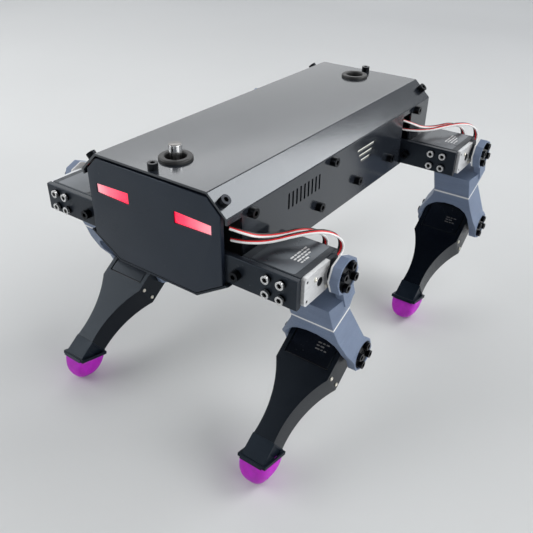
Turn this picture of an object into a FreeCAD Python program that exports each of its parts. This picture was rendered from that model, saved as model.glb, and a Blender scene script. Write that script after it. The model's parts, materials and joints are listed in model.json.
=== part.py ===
import FreeCAD, Part
import math
import os
from types import SimpleNamespace

import Sketcher

# Four-legged walking robot: a folded sheet body on two cross bars, and at each corner a two-servo leg.
# Frame: +Z up, floor at z = 0, the face looks along -Y, +X is the robot's left side.

Vector = FreeCAD.Vector
Placement = FreeCAD.Placement
Rotation = FreeCAD.Rotation

doc = FreeCAD.newDocument("walking_robot")
sheet = doc.addObject("Spreadsheet::Sheet", "Dims")

DRIVING = [
    # body, heights measured up from the floor
    ("front_y", -148.74), ("body_length", 276), ("body_top", 199), ("body_half_width", 60),
    ("roof_half_width", 46), ("shoulder_drop", 13), ("wall_drop", 58.5), ("belly_drop", 75),
    ("belly_half_width", 34.2), ("sheet_thick", 1.5), ("bend_radius", 2),
    ("panel_thick", 3), ("panel_proud", 0.2), ("panel_half_width", 55.2), ("panel_roof_half", 45.6),
    ("panel_belly_half", 33.6), ("panel_top_drop", 3.2), ("panel_shoulder_drop", 12.6),
    ("panel_wall_drop", 59.4), ("panel_belly_drop", 73),
    # openings in the body
    ("eye_inner", 19.2), ("eye_outer", 48), ("eye_drop", 24),
    ("eye_inner_half", 4.1), ("eye_outer_half", 3.3),
    ("vent_first", 61.5), ("vent_pitch", 4.6), ("vent_wide", 1.9), ("vent_drop", 21), ("vent_tall", 11),
    ("window_start", 152), ("window_long", 28), ("window_drop", 21.5), ("window_pitch", 4.4),
    ("window_tall", 2.2), ("notch_long", 14), ("notch_drop", 17),
    ("ring_inset", 25), ("ring_outer", 11), ("ring_neck", 9), ("ring_hole", 6.8), ("ring_rise", 2.2),
    ("button_radius", 4.3), ("button_rise", 9), ("button_sunk", 9), ("button_shift", 1.5),
    # screws
    ("head_radius", 3.3), ("head_tall", 4.2), ("socket_radius", 1.7), ("socket_deep", 2),
    ("small_head_radius", 2.75), ("small_head_tall", 3), ("small_socket_radius", 1.7),
    # cross bars and hip servos
    ("wheelbase", 229), ("bar_front", 2.8), ("bar_thick", 4.2), ("bar_half_length", 106),
    ("servo_drop", 38), ("servo_thick", 20), ("servo_inner", 65), ("servo_outer", 105),
    ("servo_front", 7), ("servo_long", 41), ("shaft_from_end", 9.5), ("plate_thick", 3),
    ("boss_radius", 6.5), ("boss_out", 110.5), ("spline_radius", 3), ("bore_radius", 3.05),
    ("bolt_square", 10), ("bolt_inset", 15), ("clearance_hole", 1.6),
    # links
    ("leg_centre", 88), ("hip_pitch", 22), ("knee_pitch", 55), ("link_long", 88),
    ("ear_flat", 11.4), ("ear_corner", 4.7), ("ear_inner", 24.7), ("ear_outer", 30.5), ("ear_liner", 23.5),
    ("disc_recess", 10.2), ("disc_radius", 9.8), ("disc_seat", 27.2), ("disc_thick", 2.6), ("ear_hole", 4),
    ("block_inner", 5.8), ("block_outer", 25.8), ("block_front", 18.6), ("block_back", 2), ("block_top", 15),
    ("block_split", 35.8), ("accent_thick", 1.8), ("facet_back", 4.5),
    ("fork_inner", 24.5), ("fork_outer", 31), ("slim_inner", 21.6), ("slim_outer", 26), ("screw_circle", 7),
    # leg
    ("shell_half", 20.9), ("shell_rise", 12), ("shell_front", 11.5), ("shell_back", 11.5), ("waist", 28.4),
    ("ankle", 81), ("ankle_half", 8.25), ("ankle_back", 6.8), ("curve_radius", 82.1),
    ("curve_centre_out", 89.9), ("curve_centre_down", 72.9),
    ("knee_servo_half", 18.9), ("knee_servo_rise", 10), ("knee_servo_low", 30), ("knee_servo_thick", 10),
    ("knee_boss", 2.4), ("label_half", 17.4), ("label_low", 22.3), ("label_high", 7),
    # foot
    ("rim_down", 91.33), ("rim_shift", 1.2), ("rim_tilt", 14), ("rim_half_x", 11.3), ("rim_half_y", 12.25),
    ("rim_thick", 2.6), ("boot_half", 8.9), ("pad_half_x", 11.2), ("pad_half_y", 12.1), ("pad_corner", 3.5),
    ("dome_x", 13.5), ("dome_y", 15), ("dome_deep", 18.93), ("dome_ahead", 3),
    # servo leads, each of three wires
    ("wire_thick", 1.4),
]


class Size:
    """A length that carries its value and the sheet expression that drives it."""

    def __init__(self, value, text):
        self.value = value
        self.text = text

    def __add__(self, other):
        other = sized(other)
        return Size(self.value + other.value, "(%s + %s)" % (self.text, other.text))

    def __sub__(self, other):
        other = sized(other)
        return Size(self.value - other.value, "(%s - %s)" % (self.text, other.text))

    def __mul__(self, number):
        return Size(self.value * number, "(%s * %s)" % (self.text, number))

    def __neg__(self):
        return self * -1

    __radd__ = __add__


def sized(value):
    return value if isinstance(value, Size) else Size(float(value), "%s" % float(value))


for row, (alias, value) in enumerate(DRIVING, start=1):
    sheet.set("A%d" % row, alias)
    sheet.set("B%d" % row, str(value))
    sheet.setAlias("B%d" % row, alias)
doc.recompute()
d = SimpleNamespace(**{alias: Size(value, "Dims." + alias) for alias, value in DRIVING})

SIDES = {"left": 1, "right": -1}
nodes = []


def bind(obj, prop, value):
    obj.setExpression(prop, sized(value).text)


def put(obj, x, y, z):
    for axis, value in zip("xyz", (x, y, z)):
        bind(obj, "Placement.Base.%s" % axis, value)


def box(name, low, high):
    """Box between two corners."""
    solid = doc.addObject("Part::Box", name)
    for prop, start, end in zip(("Length", "Width", "Height"), low, high):
        bind(solid, prop, sized(end) - start)
    put(solid, *low)
    return solid


AXIS_TURN = {
    "X": Rotation(Vector(0, 1, 0), 90),
    "Y": Rotation(Vector(1, 0, 0), -90),
    "Z": Rotation(),
}


def rod(name, axis, centre, radius, long):
    """Cylinder along a positive axis, from the given centre of its first face."""
    solid = doc.addObject("Part::Cylinder", name)
    bind(solid, "Radius", radius)
    bind(solid, "Height", long)
    solid.Placement = Placement(Vector(), AXIS_TURN[axis])
    put(solid, *centre)
    return solid


def side_rod(name, side, inner, outer, y, z, radius):
    """Cylinder along X between two distances from the centre plane, on one side."""
    start = sized(inner) if side > 0 else -sized(outer)
    return rod(name, "X", (start, y, z), radius, sized(outer) - inner)


def side_box(name, side, inner, outer, low_yz, high_yz):
    """Box between two distances from the centre plane, on one side."""
    xs = (sized(inner), sized(outer)) if side > 0 else (-sized(outer), -sized(inner))
    return box(name, (xs[0],) + tuple(low_yz), (xs[1],) + tuple(high_yz))


def prism(name, plane, outline, start, end):
    """Body padded from a closed outline on an origin plane, between two distances along the third axis."""
    body = doc.addObject("PartDesign::Body", name)
    sketch = body.newObject("Sketcher::SketchObject", name + "_outline")
    support = [f for f in body.Origin.OriginFeatures if f.Role == plane + "_Plane"][0]
    sketch.AttachmentSupport = [(support, "")]
    sketch.MapMode = "FlatFace"
    offset = -sized(end) if plane == "XZ" else sized(start)
    bind(sketch, "AttachmentOffset.Base.z", offset)
    corners = [(sized(x), sized(y)) for x, y in outline]
    count = len(corners)
    for i in range(count):
        here = corners[i]
        there = corners[(i + 1) % count]
        ends = [Vector(point[0].value, point[1].value, 0) for point in (here, there)]
        sketch.addGeometry(Part.LineSegment(*ends), False)
    for i in range(count):
        sketch.addConstraint(Sketcher.Constraint("Coincident", i, 2, (i + 1) % count, 1))
    for i, (x, y) in enumerate(corners):
        for kind, value in (("DistanceX", x), ("DistanceY", y)):
            index = sketch.addConstraint(Sketcher.Constraint(kind, -1, 1, i, 1, value.value))
            sketch.setExpression("Constraints[%d]" % index, value.text)
    pad = body.newObject("PartDesign::Pad", name + "_pad")
    pad.Profile = sketch
    bind(pad, "Length", sized(end) - start)
    body.Tip = pad
    return body


def cut(name, base, tools):
    tool = tools[0]
    if len(tools) > 1:
        tool = doc.addObject("Part::MultiFuse", name + "_tools")
        tool.Shapes = tools
    result = doc.addObject("Part::Cut", name)
    result.Base = base
    result.Tool = tool
    return result


def fuse(name, shapes):
    result = doc.addObject("Part::MultiFuse", name)
    result.Shapes = shapes
    result.Refine = True
    return result


def common(name, shapes):
    result = doc.addObject("Part::MultiCommon", name)
    result.Shapes = shapes
    return result


def group(name, shapes):
    """Identical loose pieces kept together as one sub-part."""
    result = doc.addObject("Part::Compound", name)
    result.Links = shapes
    return result


def soften(name, base, radius, wanted):
    """Fillet on the edges that the test picks."""
    doc.recompute()
    picked = [i for i, edge in enumerate(base.Shape.Edges, start=1) if wanted(edge)]
    result = doc.addObject("Part::Fillet", name)
    result.Base = base
    result.Edges = [(i, radius, radius) for i in picked]
    return result


def along(axis):
    """Test for straight edges along an axis vector."""
    def test(edge):
        if not isinstance(edge.Curve, Part.Line):
            return False
        return abs(edge.Curve.Direction.dot(axis)) > 0.999
    return test


def node(label, obj, place=None):
    """Names a finished sub-part, places it and lists it for export."""
    obj.Label = label
    if place is not None:
        obj.Placement = place
    nodes.append((label, obj))
    return obj


def from_front(distance):
    return d.front_y + distance


def from_roof(drop):
    return d.body_top - drop


# ---------------------------------------------------------------- body shell

def wall_outline():
    """Roof, two shoulders and two side walls of the cover, as one folded sheet."""
    slope_x = d.body_half_width - d.roof_half_width
    lean = math.hypot(slope_x.value, d.shoulder_drop.value)
    inner_roof = d.roof_half_width - d.sheet_thick * ((lean - slope_x.value) / d.shoulder_drop.value)
    drop = d.shoulder_drop + d.sheet_thick * ((lean - d.shoulder_drop.value) / slope_x.value)
    outer = [(d.body_half_width, from_roof(d.wall_drop)), (d.body_half_width, from_roof(d.shoulder_drop)),
             (d.roof_half_width, d.body_top)]
    inner = [(inner_roof, from_roof(d.sheet_thick)), (d.body_half_width - d.sheet_thick, from_roof(drop)),
             (d.body_half_width - d.sheet_thick, from_roof(d.wall_drop))]
    left = outer
    right = [(-x, z) for x, z in reversed(outer)]
    back = [(-x, z) for x, z in reversed(inner)]
    return left + right + back + inner


def bar_fronts():
    """Distance of each cross bar's front face from the front of the body."""
    return {"front": d.bar_front, "rear": d.bar_front + d.wheelbase}


def build_cover():
    shell = prism("cover_fold", "XZ", wall_outline(), d.front_y, from_front(d.body_length))
    shell = soften("cover_bends", shell, d.bend_radius.value,
                   lambda edge: along(Vector(0, 1, 0))(edge) and is_outer_bend(edge))
    tools = []
    reach = d.body_half_width + 2
    for i in range(9):
        start = from_front(d.vent_first + d.vent_pitch * i)
        low = (-reach, start, from_roof(d.vent_drop + d.vent_tall))
        tools.append(box("vent_%d" % i, low, (reach, start + d.vent_wide, from_roof(d.vent_drop))))
    for i in range(3):
        top = from_roof(d.window_drop + d.window_pitch * i)
        start = from_front(d.window_start + 3.0 * i)
        long = d.window_long - 6.0 * i
        tools.append(box("slot_%d" % i, (-reach, start, top - d.window_tall), (reach, start + long, top)))
    for name, bar in bar_fronts().items():
        low = (-reach, from_front(bar) - 4, from_roof(d.wall_drop + 1))
        high = (reach, from_front(bar + d.notch_long) - 3, from_roof(d.notch_drop))
        tools.append(box("notch_" + name, low, high))
    for name, y in ring_places().items():
        tools.append(rod("ring_cut_" + name, "Z", (0, y, from_roof(4)), d.ring_neck, 6))
    node("top_cover", cut("top_cover", shell, tools))


def is_outer_bend(edge):
    point = edge.Vertexes[0].Point
    shoulder = d.body_top.value - d.shoulder_drop.value
    on_roof = abs(point.z - d.body_top.value) < 0.01
    on_shoulder = abs(point.z - shoulder) < 0.01 and abs(abs(point.x) - d.body_half_width.value) < 0.01
    return on_roof or on_shoulder


def ring_places():
    return {"front": from_front(d.ring_inset), "rear": from_front(d.body_length - d.ring_inset)}


def build_tray():
    wall = 2.8
    outer = [(d.body_half_width, from_roof(d.wall_drop)), (d.belly_half_width, from_roof(d.belly_drop))]
    inner = [(d.belly_half_width - 0.45, from_roof(d.belly_drop - d.sheet_thick)),
             (d.body_half_width - wall, from_roof(d.wall_drop))]
    outline = [(-x, z) for x, z in outer] + list(reversed(outer))
    outline += list(reversed(inner)) + [(-x, z) for x, z in inner]
    trough = prism("tray_fold", "XZ", outline, d.front_y, from_front(d.body_length))
    lips = []
    for label, side in SIDES.items():
        inner_x = d.body_half_width - d.sheet_thick * 2 - 0.1
        lips.append(side_box("tray_lip_" + label, side, inner_x, inner_x + d.sheet_thick,
                             (from_front(30), from_roof(d.wall_drop + 1)),
                             (from_front(d.wheelbase - 8), from_roof(d.wall_drop - 8))))
    node("bottom_tray", fuse("bottom_tray", [trough] + lips))


def panel_outline():
    half = [(d.panel_belly_half, from_roof(d.panel_belly_drop)),
            (d.panel_half_width, from_roof(d.panel_wall_drop)),
            (d.panel_half_width, from_roof(d.panel_shoulder_drop)),
            (d.panel_roof_half, from_roof(d.panel_top_drop))]
    return half + [(-x, z) for x, z in reversed(half)]


def eye_outline(side, slack):
    inner = d.eye_inner + slack
    outer = d.eye_outer - slack
    tall_in = d.eye_inner_half - slack
    tall_out = d.eye_outer_half - slack
    middle = from_roof(d.eye_drop)
    corners = [(inner, middle - tall_in), (outer, middle - tall_out), (outer, middle + tall_out),
               (inner, middle + tall_in)]
    return [(x * side, z) for x, z in corners]


def build_panels():
    start = from_front(-d.panel_proud.value)
    end = start + d.panel_thick
    front = prism("face_plate", "XZ", panel_outline(), start, end)
    holes = [prism("eye_hole_" + label, "XZ", eye_outline(side, 0), start - 1, end + 1)
             for label, side in SIDES.items()]
    pierced = cut("face_pierced", front, holes)
    node("front_panel", soften("front_panel", pierced, 0.5, on_face_rim(start.value)))
    lenses = [prism("lens_" + label, "XZ", eye_outline(side, 0.05), start + 0.8, end)
              for label, side in SIDES.items()]
    node("eye_lenses", group("eye_lenses", lenses))
    back = from_front(d.body_length) + d.panel_proud
    rear = prism("tail_plate", "XZ", panel_outline(), back - d.panel_thick, back)
    node("rear_panel", soften("rear_panel", rear, 0.5, on_face_rim(back.value)))


def on_face_rim(y):
    """Edges of the octagon's outside rim on the plane y."""
    def test(edge):
        points = [vertex.Point for vertex in edge.Vertexes]
        if any(abs(point.y - y) > 0.01 for point in points):
            return False
        span = [math.hypot(point.x, point.z - d.body_top.value + 38) for point in points]
        return min(span) > 40 and max(abs(point.x) for point in points) > 33
    return test


def build_bars():
    corner = 0.8
    for name, bar in bar_fronts().items():
        front = from_front(bar)
        low = (-d.bar_half_length, front, from_roof(d.servo_drop + d.servo_thick))
        high = (d.bar_half_length, front + d.bar_thick, from_roof(d.servo_drop))
        blank = box(name + "_bar_blank", low, high)
        blank = soften(name + "_bar_blank_round", blank, corner, along(Vector(1, 0, 0)))
        holes = []
        for x, z in bolt_places():
            hole = rod("%s_bar_hole_%d" % (name, len(holes)), "Y", (x, front - 1, z),
                       d.clearance_hole, d.bar_thick + 2)
            holes.append(hole)
        node(name + "_cross_bar", cut(name + "_cross_bar", blank, holes))


def bolt_places():
    """Centres of the four screws that hold each servo to its bar, on both sides."""
    middle = from_roof(d.servo_drop) - d.servo_thick * 0.5
    centre = d.bar_half_length - d.bolt_inset
    half = d.bolt_square * 0.5
    places = []
    for side in SIDES.values():
        for across in (-1, 1):
            for up in (-1, 1):
                places.append(((centre + half * across) * side, middle + half * up))
    return places


def screw(name, place, radius, tall, socket):
    """Socket head standing along +Z of its placement."""
    head = rod(name + "_head", "Z", (0, 0, 0), radius, tall)
    recess = doc.addObject("Part::Prism", name + "_socket")
    recess.Polygon = 6
    bind(recess, "Circumradius", socket)
    bind(recess, "Height", d.socket_deep + 1)
    bind(recess, "Placement.Base.z", sized(tall) - d.socket_deep)
    result = cut(name, head, [recess])
    result.Placement = place
    return result


def facing(x, y, z, direction):
    """Placement that stands a screw on a point, along a direction."""
    point = Vector(*[sized(value).value for value in (x, y, z)])
    return Placement(point, Rotation(Vector(0, 0, 1), Vector(*direction)))


def build_body_screws():
    rows = ((17, (22, 115, 250)), (45, (99, 153, 206)))
    places = []
    for y in (5, 271):
        places.append(facing(0, from_front(y), d.body_top, (0, 0, 1)))
        slope_x = d.body_half_width.value - d.roof_half_width.value
        normal = (d.shoulder_drop.value, 0, slope_x)
        middle = d.roof_half_width.value + slope_x / 2
        for side in SIDES.values():
            across = (normal[0] * side, 0, normal[2])
            places.append(facing(middle * side, from_front(y), from_roof(d.shoulder_drop * 0.5), across))
    for drop, along_wall in rows:
        for y in along_wall:
            for side in SIDES.values():
                places.append(facing(d.body_half_width * side, from_front(y), from_roof(drop), (side, 0, 0)))
    for bar in bar_fronts().values():
        for side in SIDES.values():
            places.append(facing(64.2 * side, from_front(bar), from_roof(49), (0, -1, 0)))
    heads = [screw("cap_screw_%d" % i, place, d.head_radius, d.head_tall, d.socket_radius)
             for i, place in enumerate(places)]
    node("body_cap_screws", group("body_cap_screws", heads))
    bolts = []
    for bar in bar_fronts().values():
        for x, z in bolt_places():
            bolts.append(screw("servo_bolt_%d" % len(bolts), facing(x, from_front(bar), z, (0, -1, 0)),
                               d.small_head_radius, d.small_head_tall, d.small_socket_radius))
    node("servo_mount_bolts", group("servo_mount_bolts", bolts))


def build_roof_fittings():
    rings = []
    for name, y in ring_places().items():
        flange = rod("ring_flange_" + name, "Z", (0, y, d.body_top), d.ring_outer, d.ring_rise)
        neck = rod("ring_neck_" + name, "Z", (0, y, from_roof(3)), d.ring_neck, d.ring_rise + 2)
        skirt = rod("ring_skirt_" + name, "Z", (0, y, from_roof(3)), d.ring_outer, 1.5)
        body = fuse("ring_body_" + name, [flange, neck, skirt])
        bore = rod("ring_bore_" + name, "Z", (0, y, from_roof(5)), d.ring_hole, 9)
        ring = cut("ring_" + name, body, [bore])
        rings.append(soften("ring_soft_" + name, ring, 1.2, on_level(d.body_top + d.ring_rise)))
    node("cable_grommets", group("cable_grommets", rings))
    y = ring_places()["front"] + d.button_shift
    stem = rod("button_stem", "Z", (-d.button_shift, y, from_roof(d.button_sunk)), d.button_radius,
               d.button_sunk + d.button_rise)
    node("power_button", soften("power_button", stem, 0.6, on_level(d.body_top + d.button_rise)))


def on_level(height):
    def test(edge):
        return all(abs(vertex.Point.z - height.value) < 0.01 for vertex in edge.Vertexes)
    return test


def build_light_plates():
    plates = []
    for label, side in SIDES.items():
        outer = d.body_half_width - d.sheet_thick
        low = (from_front(d.window_start) - 2, from_roof(d.window_drop + d.window_pitch * 3))
        high = (from_front(d.window_start + d.window_long) + 2, from_roof(d.window_drop) + 2)
        plates.append(side_box("light_plate_" + label, side, outer - 1.5, outer, low, high))
    node("side_light_plates", group("side_light_plates", plates))


# ---------------------------------------------------------------- hips

def hip_y(bar):
    """Hip shaft's distance from the front of the body."""
    return bar - d.bar_front + d.servo_front + d.servo_long - d.shaft_from_end


def hip_z():
    return from_roof(d.servo_drop) - d.servo_thick * 0.5


def build_hip_servo(leg, side, bar):
    front = from_front(bar - d.bar_front + d.servo_front)
    back = front + d.servo_long
    floor = from_roof(d.servo_drop + d.servo_thick)
    roof = from_roof(d.servo_drop)
    case = side_box(leg + "_case", side, d.servo_inner, d.servo_outer, (front, floor), (back, roof))
    case = soften(leg + "_case_round", case, 1.0, along(Vector(1, 0, 0)))
    plate = side_box(leg + "_plate", side, d.servo_outer, d.servo_outer + d.plate_thick,
                     (front + 0.5, floor + 0.5), (back - 4, roof - 0.5))
    plate = soften(leg + "_plate_round", plate, 3.0, along(Vector(1, 0, 0)))
    y = from_front(hip_y(bar))
    boss = side_rod(leg + "_boss", side, d.servo_outer - 1, d.boss_out, y, hip_z(), d.boss_radius)
    whole = fuse(leg + "_servo_solid", [case, plate, boss])
    bore = side_rod(leg + "_bore", side, d.servo_outer + 1, d.boss_out + 1, y, hip_z(), d.bore_radius)
    eye = side_rod(leg + "_eye", side, d.servo_outer + 1, d.servo_outer + d.plate_thick + 1,
                   front + 17, hip_z(), 3)
    dimples = []
    for dy in (3.5, 33.5):
        for dz in (-6.5, 6.5):
            dimples.append(side_rod("%s_dimple_%d" % (leg, len(dimples)), side, d.servo_outer + 2,
                                    d.servo_outer + d.plate_thick + 1, front + dy, hip_z() + dz, 1))
    node(leg + "_hip_servo", cut(leg + "_hip_servo", whole, [bore, eye] + dimples))


# ---------------------------------------------------------------- upper link, in its own frame
# Local origin on the hip shaft at the leg's centre plane, -Z runs down the link and +Y is its back.

def octagon():
    flat = d.ear_flat
    corner = d.ear_corner
    ring = [(flat, -corner), (flat, corner), (corner, flat), (-corner, flat),
            (-flat, corner), (-flat, -corner), (-corner, -flat), (corner, -flat)]
    return ring


def ear(name, side, inner, outer):
    xs = (inner, outer) if side > 0 else (-outer, -inner)
    return prism(name, "YZ", octagon(), xs[0], xs[1])


def build_yoke_upper(leg, side, place):
    plate = ear(leg + "_ear", side, d.ear_inner, d.ear_outer)
    shoulder = d.block_top + 6
    stem = side_box(leg + "_stem", side, d.ear_inner, d.ear_outer, (-8, -shoulder), (d.block_back + 2, -8))
    front_view = [(-d.block_inner, -d.block_split), (d.block_outer, -d.block_split),
                  (d.ear_outer, -shoulder), (d.ear_outer, -d.block_top), (-d.block_inner, -d.block_top)]
    front = prism(leg + "_block_front", "XZ", [(x * side, z) for x, z in front_view],
                  -d.block_front, d.block_back)
    top_view = [(-d.block_inner, -d.block_front), (d.block_outer, -d.block_front),
                (d.ear_outer, -d.facet_back), (d.ear_outer, d.block_back), (-d.block_inner, d.block_back)]
    top = prism(leg + "_block_plan", "XY", [(x * side, y) for x, y in top_view], -d.block_split, -d.block_top)
    block = common(leg + "_block", [front, top])
    whole = fuse(leg + "_upper_solid", [plate, stem, block])
    seat = side_rod(leg + "_seat", side, d.disc_seat, d.ear_outer + 1, 0, 0, d.disc_recess)
    hole = side_rod(leg + "_ear_hole", side, d.ear_inner - 1, d.ear_outer + 1, 0, 0, d.ear_hole)
    node(leg + "_yoke_upper", cut(leg + "_yoke_upper", whole, [seat, hole]), place)


def build_yoke_accent(leg, side, place):
    xs = (-d.block_inner, d.block_outer) if side > 0 else (-d.block_outer, d.block_inner)
    section = [(xs[0], -d.block_front), (xs[1], -d.block_front), (xs[1], d.block_back), (xs[0], d.block_back)]
    band = prism(leg + "_band", "XY", section, -(d.block_split + d.accent_thick), -d.block_split)
    liner = ear(leg + "_liner", side, d.ear_liner, d.ear_inner)
    hole = side_rod(leg + "_liner_hole", side, d.ear_liner - 1, d.ear_inner + 1, 0, 0, d.ear_hole)
    washer = cut(leg + "_liner_cut", liner, [hole])
    node(leg + "_yoke_accent", group(leg + "_yoke_accent", [band, washer]), place)


def fork_front(side):
    """Front view of the fork: an arch between a stout outer arm and a slim inner one."""
    knee = d.link_long
    top = d.block_split + d.accent_thick
    low = knee + d.ear_flat
    outer_arm = [(d.block_outer, -top), (d.fork_outer, -(knee - 12)),
                 (d.fork_outer, -low), (d.fork_inner, -low)]
    arch = [(d.fork_inner, -(knee - 22)), (d.fork_inner - 2, -(knee - 30.5)),
            (d.fork_inner - 6.5, -(knee - 36)), (d.fork_inner - 13, -(knee - 38.5)),
            (d.fork_inner - 21, -(knee - 38.5)),
            (-(d.slim_inner - 17.6), -(knee - 36)), (-(d.slim_inner - 12.6), -(knee - 32)),
            (-(d.slim_inner - 7.8), -(knee - 26.5)), (-(d.slim_inner - 4.2), -(knee - 20.5)),
            (-d.slim_inner, -(knee - 15))]
    inner_arm = [(-d.slim_inner, -low), (-d.slim_outer, -low), (-d.slim_outer, -(knee - 9)),
                 (-(d.slim_outer - 2.6), -(knee - 16)), (-(d.slim_outer - 9), -(knee - 28)),
                 (-(d.block_inner + 2.4), -(knee - 44)), (-d.block_inner, -top)]
    return [(x * side, z) for x, z in outer_arm + arch + inner_arm]


def fork_side():
    """Side view of the fork, ending in the ears' octagon."""
    knee = d.link_long
    top = d.block_split + d.accent_thick
    flat = d.ear_flat
    corner = d.ear_corner
    return [(-d.block_front, -top), (d.block_back, -top), (d.block_back + 3.6, -(knee - 15)),
            (flat, -(knee - corner)), (flat, -(knee + corner)), (corner, -(knee + flat)),
            (-corner, -(knee + flat)), (-flat, -(knee + corner)), (-flat, -(knee - corner)),
            (-(d.block_front - 2.7), -(knee - 19.6)), (-d.block_front, -(knee - 38))]


def build_yoke_fork(leg, side, place):
    knee = d.link_long
    edge = d.block_front + 2
    front = prism(leg + "_fork_front", "XZ", fork_front(side), -edge, edge)
    profile = prism(leg + "_fork_side", "YZ", fork_side(), -(d.fork_outer + 2), d.fork_outer + 2)
    whole = common(leg + "_fork_solid", [front, profile])
    tools = []
    for mark, sign, inner, outer in (("outer", 1, d.fork_inner, d.fork_outer),
                                     ("inner", -1, d.slim_inner, d.slim_outer)):
        name = "%s_%s" % (leg, mark)
        start = outer - disc_depth()
        tools.append(side_rod(name + "_seat", side * sign, start, outer + 1, 0, -knee, d.disc_recess))
        tools.append(side_rod(name + "_hole", side * sign, inner - 1, outer + 1, 0, -knee, d.ear_hole))
    node(leg + "_yoke_fork", cut(leg + "_yoke_fork", whole, tools), place)


def disc_depth():
    """How far each horn disc's seat lies below its ear's outer face."""
    return d.ear_outer - d.disc_seat


def disc_faces():
    """Seat, direction, depth down the link and stub end of the three horn discs."""
    hip_stub = d.servo_outer + 1.5 - d.leg_centre
    knee_stub = d.knee_servo_half + 0.5
    return [("hip", 1, d.disc_seat, sized(0), hip_stub),
            ("knee_outer", 1, d.fork_outer - disc_depth(), d.link_long, knee_stub),
            ("knee_inner", -1, d.slim_outer - disc_depth(), d.link_long, knee_stub)]


def build_horns(leg, side, place):
    horns = []
    heads = []
    for mark, sign, seat, down, stub in disc_faces():
        facing_side = side * sign
        name = "%s_%s" % (leg, mark)
        disc = side_rod(name + "_disc", facing_side, seat, seat + d.disc_thick, 0, -down, d.disc_radius)
        hub = side_rod(name + "_hub", facing_side, stub, seat + 1, 0, -down, d.spline_radius)
        whole = fuse(name + "_horn_solid", [disc, hub])
        well = side_rod(name + "_well", facing_side, seat + 1.2, seat + d.disc_thick + 1, 0, -down, 3.6)
        horns.append(cut(name + "_horn", whole, [well]))
        face = (seat + d.disc_thick).value * facing_side
        reach = d.screw_circle.value * math.sqrt(0.5)
        for a in (-1, 1):
            for b in (-1, 1):
                spot = facing(face, a * reach, b * reach - down.value, (facing_side, 0, 0))
                heads.append(screw("%s_head_%d" % (name, len(heads)), spot, d.small_head_radius,
                                   d.small_head_tall, d.small_socket_radius))
    node(leg + "_horns", group(leg + "_horns", horns), place)
    node(leg + "_horn_screws", group(leg + "_horn_screws", heads), place)


# ---------------------------------------------------------------- lower leg, in its own frame
# Local origin on the knee axis at the leg's centre plane, -Z runs down the leg and +Y is its back.

def build_knee_servo(leg, place):
    half = d.knee_servo_half
    case = box(leg + "_knee_case", (-half, -d.knee_servo_thick, -d.knee_servo_low),
               (half, d.knee_servo_thick, d.knee_servo_rise))
    bosses = []
    bores = []
    for mark, sign in SIDES.items():
        out = half + d.knee_boss
        bosses.append(side_rod("%s_knee_boss_%s" % (leg, mark), sign, half - 1, out, 0, 0, d.boss_radius))
        bores.append(side_rod("%s_knee_bore_%s" % (leg, mark), sign, half, out + 1, 0, 0, d.bore_radius))
    whole = fuse(leg + "_knee_solid", [case] + bosses)
    node(leg + "_knee_servo", cut(leg + "_knee_servo", whole, bores), place)


def build_leg_shell(leg, place):
    half = d.shell_half
    notch = 4
    outline = [(half - notch, d.shell_rise), (half, d.shell_rise - notch), (half, -d.waist),
               (d.ankle_half, -d.ankle), (-d.ankle_half, -d.ankle), (-half, -d.waist),
               (-half, d.shell_rise - notch), (-(half - notch), d.shell_rise)]
    front = prism(leg + "_shell_front", "XZ", outline, -d.shell_front, d.shell_back)
    profile = prism(leg + "_shell_side", "YZ", [(-d.shell_front, d.shell_rise), (-d.shell_front, -d.ankle),
                    (d.ankle_back, -d.ankle), (d.shell_back, -d.waist), (d.shell_back, d.shell_rise)],
                    -(half + 1), half + 1)
    blank = common(leg + "_shell_blank", [front, profile])
    curves = []
    sockets = []
    for mark, sign in SIDES.items():
        centre = (d.curve_centre_out * sign, -(d.shell_front + 1), -d.curve_centre_down)
        curves.append(rod("%s_curve_%s" % (leg, mark), "Y", centre, d.curve_radius,
                          d.shell_front + d.shell_back + 2))
        sockets.append(side_rod("%s_boss_gap_%s" % (leg, mark), sign, half - 4, half + 1, 0, 0,
                                d.boss_radius + 0.5))
    slack = 0.05
    bay_half = d.knee_servo_half + slack
    bay_thick = d.knee_servo_thick + slack
    bay = box(leg + "_bay", (-bay_half, -bay_thick, -(d.knee_servo_low + slack)),
              (bay_half, bay_thick, d.knee_servo_rise + slack))
    window = box(leg + "_window", (-d.label_half, -(d.shell_front + 1), -d.label_low),
                 (d.label_half, 0, d.label_high))
    node(leg + "_leg_shell", cut(leg + "_leg_shell", blank, curves + sockets + [bay, window]), place)


def build_boot(leg, place):
    """Tapering end of the leg, closed by a rim plate that lies nearly level."""
    lean = math.radians((d.knee_pitch - d.rim_tilt).value)
    toe = d.rim_down + (d.shell_front - d.rim_shift) * math.tan(lean)
    heel = d.rim_down - (d.ankle_back + d.rim_shift) * math.tan(lean)
    outline = [(-d.shell_front, -d.ankle), (-d.shell_front, -toe),
               (d.ankle_back, -heel), (d.ankle_back, -d.ankle)]
    shaft = prism(leg + "_boot_shaft", "YZ", outline, -d.boot_half, d.boot_half)
    half_x = d.rim_half_x
    half_y = d.rim_half_y
    corners = [(-half_x, -half_y), (half_x, -half_y), (half_x, half_y), (-half_x, half_y)]
    rim = prism(leg + "_rim", "XY", corners, sized(0), d.rim_thick)
    rim.Placement = rim_in_leg()
    whole = fuse(leg + "_boot_whole", [shaft, rim])
    gaps = []
    for mark, sign in SIDES.items():
        gaps.append(side_box("%s_boot_panel_%s" % (leg, mark), sign, d.boot_half - 0.8, d.boot_half + 1,
                             (-d.shell_front + 2, -(d.ankle + 8)), (d.ankle_back - 3, -(d.ankle + 1.5))))
    node(leg + "_foot_boot", cut(leg + "_foot_boot", whole, gaps), place)


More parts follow.
